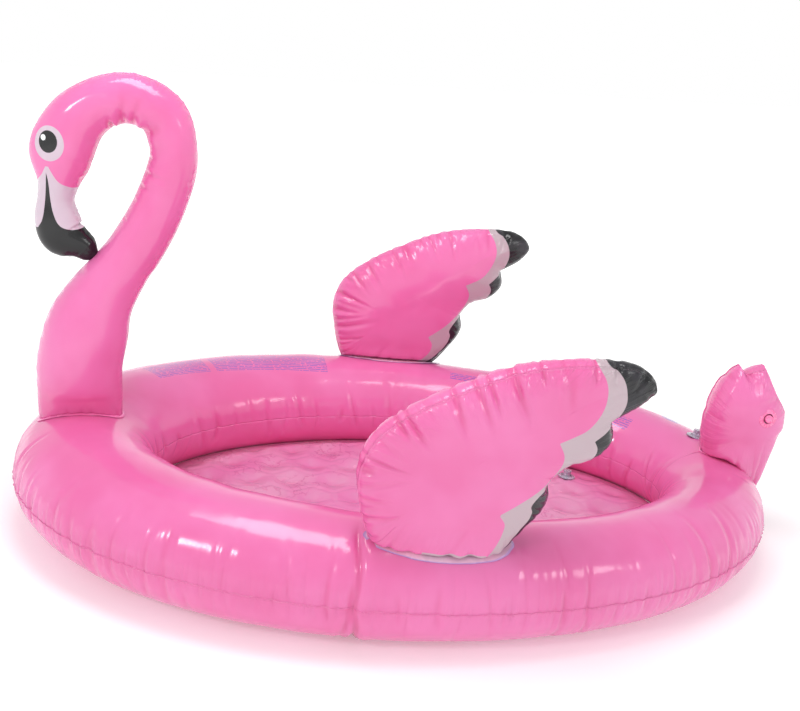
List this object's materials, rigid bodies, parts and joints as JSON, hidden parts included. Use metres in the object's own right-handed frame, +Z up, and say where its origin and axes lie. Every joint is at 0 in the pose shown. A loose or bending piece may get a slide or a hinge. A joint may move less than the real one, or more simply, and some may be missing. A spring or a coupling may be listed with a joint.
{
  "type": "inflatable paddling float",
  "caption": "Oval inflatable paddling ring with padded floor, curved bird neck with head and beak, scalloped wings, a tail and tethered plug valves.",
  "frame": {"origin": "on the ground under the middle of the pool, on the floor's underside", "axes": "+X from the head to the tail along the longest extent, +Y to the float's right-hand side, +Z up"},
  "size_m": [1.8526, 1.1938, 1.0443],
  "materials": {
    "pink_vinyl": "gloss",
    "floor_vinyl": "gloss",
    "flange_vinyl": "gloss",
    "clear_vinyl": "gloss",
    "pink_valve_vinyl": "gloss"
  },
  "bodies": {
    "float_body": {"ring_upper_skin": "pink_vinyl", "ring_lower_skin": "pink_vinyl", "floor_top_sheet": "floor_vinyl", "floor_bottom_sheet": "floor_vinyl", "neck_base_flange": "flange_vinyl", "tail_base_flange": "flange_vinyl", "wing_left_base_flange": "flange_vinyl", "wing_right_base_flange": "flange_vinyl", "ring_valve_collar": "clear_vinyl", "floor_valve_collar": "clear_vinyl"},
    "neck": {"neck_left_skin": "pink_vinyl", "neck_right_skin": "pink_vinyl", "neck_valve_collar": "pink_valve_vinyl"},
    "wing_left": {"wing_left_outer_skin": "pink_vinyl", "wing_left_inner_skin": "pink_vinyl"},
    "wing_right": {"wing_right_outer_skin": "pink_vinyl", "wing_right_inner_skin": "pink_vinyl"},
    "tail": {"tail_left_skin": "pink_vinyl", "tail_right_skin": "pink_vinyl", "tail_valve_collar": "pink_valve_vinyl"},
    "ring_valve_stem": {"ring_valve_stem": "clear_vinyl"},
    "ring_valve_plug": {"ring_valve_plug": "clear_vinyl"},
    "ring_valve_check_flap": {"ring_valve_check_flap": "clear_vinyl"},
    "floor_valve_stem": {"floor_valve_stem": "clear_vinyl"},
    "floor_valve_plug": {"floor_valve_plug": "clear_vinyl"},
    "floor_valve_check_flap": {"floor_valve_check_flap": "clear_vinyl"},
    "neck_valve_stem": {"neck_valve_stem": "pink_valve_vinyl"},
    "neck_valve_plug": {"neck_valve_plug": "pink_valve_vinyl"},
    "neck_valve_check_flap": {"neck_valve_check_flap": "pink_valve_vinyl"},
    "tail_valve_stem": {"tail_valve_stem": "pink_valve_vinyl"},
    "tail_valve_plug": {"tail_valve_plug": "pink_valve_vinyl"},
    "tail_valve_check_flap": {"tail_valve_check_flap": "pink_valve_vinyl"}
  },
  "joints": [
    {"name": "neck_sway", "type": "hinge", "parent": "float_body", "child": "neck", "pos_m": [-0.746, 0, 0.262], "axis": [1, 0, 0], "range_deg": [-10, 10], "stiffness_Nm_per_rad": 25},
    {"name": "wing_left_sway", "type": "hinge", "parent": "float_body", "child": "wing_left", "pos_m": [0.035, -0.508, 0.24], "axis": [1, 0, 0], "range_deg": [-12, 12], "stiffness_Nm_per_rad": 8},
    {"name": "wing_right_sway", "type": "hinge", "parent": "float_body", "child": "wing_right", "pos_m": [0.035, 0.508, 0.24], "axis": [1, 0, 0], "range_deg": [-12, 12], "stiffness_Nm_per_rad": 8},
    {"name": "tail_sway", "type": "hinge", "parent": "float_body", "child": "tail", "pos_m": [0.83, 0, 0.21], "axis": [1, 0, 0], "range_deg": [-10, 10], "stiffness_Nm_per_rad": 5},
    {"name": "ring_valve_recess", "type": "slide", "parent": "float_body", "child": "ring_valve_stem", "axis": [0.1737, 0.0489, 0.9836], "range_m": [-0.011, 0]},
    {"name": "ring_valve_plug_hinge", "type": "hinge", "parent": "ring_valve_stem", "child": "ring_valve_plug", "pos_m": [0.80659, 0.09058, 0.22779], "axis": [0, 0.9988, -0.0497], "range_deg": [0, 150]},
    {"name": "ring_valve_check_flap_hinge", "type": "hinge", "parent": "ring_valve_stem", "child": "ring_valve_check_flap", "pos_m": [0.78664, 0.08997, 0.21544], "axis": [0, 0.9988, -0.0497], "range_deg": [0, 40], "stiffness_Nm_per_rad": 0.0005},
    {"name": "floor_valve_recess", "type": "slide", "parent": "float_body", "child": "floor_valve_stem", "axis": [0.0526, 0.0626, 0.9966], "range_m": [-0.011, 0]},
    {"name": "floor_valve_plug_hinge", "type": "hinge", "parent": "floor_valve_stem", "child": "floor_valve_plug", "pos_m": [0.51438, 0.16806, 0.06349], "axis": [0, 0.998, -0.0627], "range_deg": [0, 150]},
    {"name": "floor_valve_check_flap_hinge", "type": "hinge", "parent": "floor_valve_stem", "child": "floor_valve_check_flap", "pos_m": [0.49608, 0.16714, 0.04881], "axis": [0, 0.998, -0.0627], "range_deg": [0, 40], "stiffness_Nm_per_rad": 0.0005},
    {"name": "neck_valve_recess", "type": "slide", "parent": "neck", "child": "neck_valve_stem", "axis": [-0.0897, 0.9709, 0.222], "range_m": [0, 0.011]},
    {"name": "neck_valve_plug_hinge", "type": "hinge", "parent": "neck_valve_stem", "child": "neck_valve_plug", "pos_m": [-0.70933, 0.08382, 0.5084], "axis": [0, 0.2229, -0.9748], "range_deg": [0, 120]},
    {"name": "neck_valve_check_flap_hinge", "type": "hinge", "parent": "neck_valve_stem", "child": "neck_valve_check_flap", "pos_m": [-0.72535, 0.06709, 0.50458], "axis": [0, 0.2229, -0.9748], "range_deg": [0, 40], "stiffness_Nm_per_rad": 0.0005},
    {"name": "tail_valve_recess", "type": "slide", "parent": "tail", "child": "tail_valve_stem", "axis": [0.1349, -0.9867, 0.0908], "range_m": [0, 0.011]},
    {"name": "tail_valve_plug_hinge", "type": "hinge", "parent": "tail_valve_stem", "child": "tail_valve_plug", "pos_m": [0.89802, -0.06288, 0.33523], "axis": [0, 0.0916, 0.9958], "range_deg": [0, 120]},
    {"name": "tail_valve_check_flap_hinge", "type": "hinge", "parent": "tail_valve_stem", "child": "tail_valve_check_flap", "pos_m": [0.87857, -0.04979, 0.33402], "axis": [0, 0.0916, 0.9958], "range_deg": [0, 40], "stiffness_Nm_per_rad": 0.0005}
  ]
}
